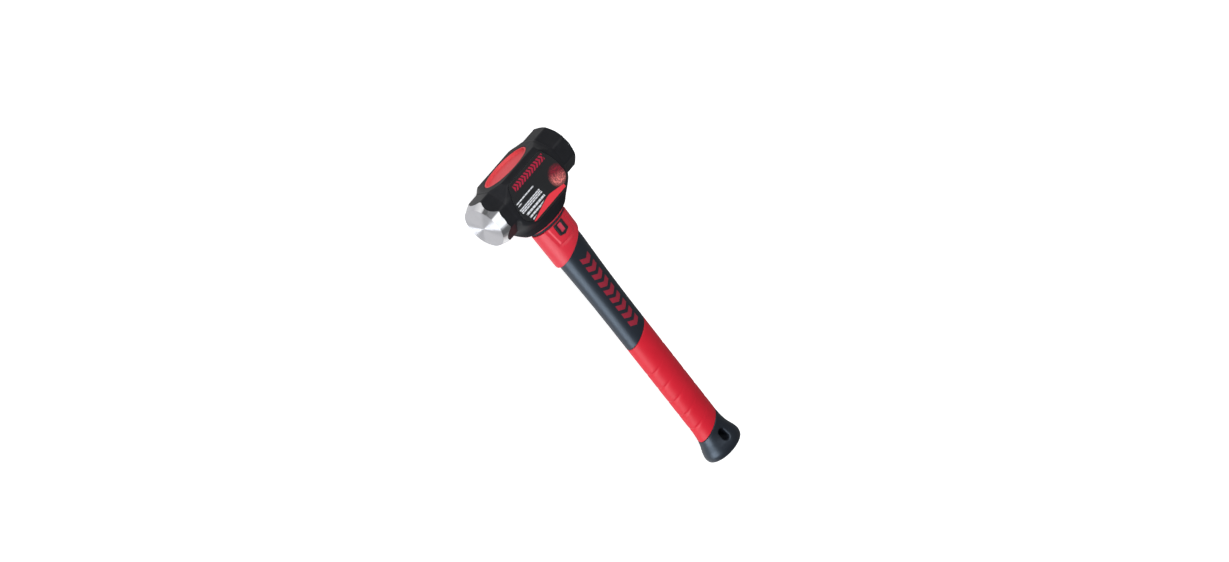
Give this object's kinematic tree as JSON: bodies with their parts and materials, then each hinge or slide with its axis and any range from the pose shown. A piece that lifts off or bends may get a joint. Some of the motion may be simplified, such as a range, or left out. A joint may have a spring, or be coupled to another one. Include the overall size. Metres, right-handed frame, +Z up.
{
  "type": "short sledge hammer",
  "caption": "Short-handled double-faced sledge hammer: octagonal steel head with crowned striking faces on an oval fibre-core handle with rubber grip, guard collar and hanging slot in the butt.",
  "frame": {"origin": "the middle of the plain cheek's flat, on the surface the hammer lies on, where the head's axis and the handle's axis cross seen from above", "axes": "+X runs along the handle from the head to the butt; +Y runs along the head to the far striking face; +Z is up, out of the labelled cheek"},
  "size_m": [0.3702, 0.1186, 0.0498],
  "materials": {
    "head_steel": "satin black paint with polished striking faces",
    "cap_plastic": "satin",
    "epoxy": "cast resin",
    "red_rubber": "satin moulded",
    "glass_fibre": "pultruded rod",
    "black_plastic": "satin moulded",
    "label_vinyl": "printed film"
  },
  "bodies": {
    "root": {"hammer_head": "head_steel", "eye_cap": "cap_plastic", "eye_epoxy": "epoxy", "eye_seal": "red_rubber", "fibreglass_core": "glass_fibre", "handle_jacket": "black_plastic", "overstrike_collar": "red_rubber", "collar_badge_front": "black_plastic", "collar_badge_back": "black_plastic", "grip_sleeve": "red_rubber", "side_label": "label_vinyl"}
  },
  "joints": []
}
